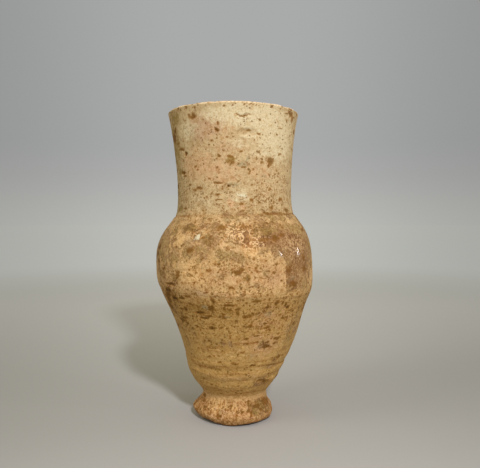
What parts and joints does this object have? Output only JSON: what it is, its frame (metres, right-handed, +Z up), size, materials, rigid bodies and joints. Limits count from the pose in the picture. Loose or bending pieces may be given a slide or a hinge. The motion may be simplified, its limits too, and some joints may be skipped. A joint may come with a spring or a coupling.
{
  "type": "vase",
  "caption": "Wheel-thrown unglazed earthenware vase with a tall flaring neck, a round shoulder, a tapering body and a small button foot.",
  "frame": {"origin": "middle of the foot's flat underside, on the wheel's axis, where the vase stands", "axes": "+Z up the wheel's axis to the mouth; -Y is the side that the picture shows, with +X to its right"},
  "size_m": [0.089, 0.089, 0.1729],
  "materials": {
    "foot_clay": "matt unglazed orange earthenware, with pale and brown streaks",
    "body_clay": "matt unglazed orange-buff earthenware, with level wheel marks and olive-black specks",
    "shoulder_clay": "unglazed orange-buff earthenware under a thin, mottled, slightly shining brown wash",
    "neck_clay": "matt unglazed cream-buff earthenware, greenish on one side, with small brown spots and pits"
  },
  "bodies": {
    "root": {"foot": "foot_clay", "lower_body": "body_clay", "shoulder": "shoulder_clay", "neck": "neck_clay"}
  },
  "joints": []
}
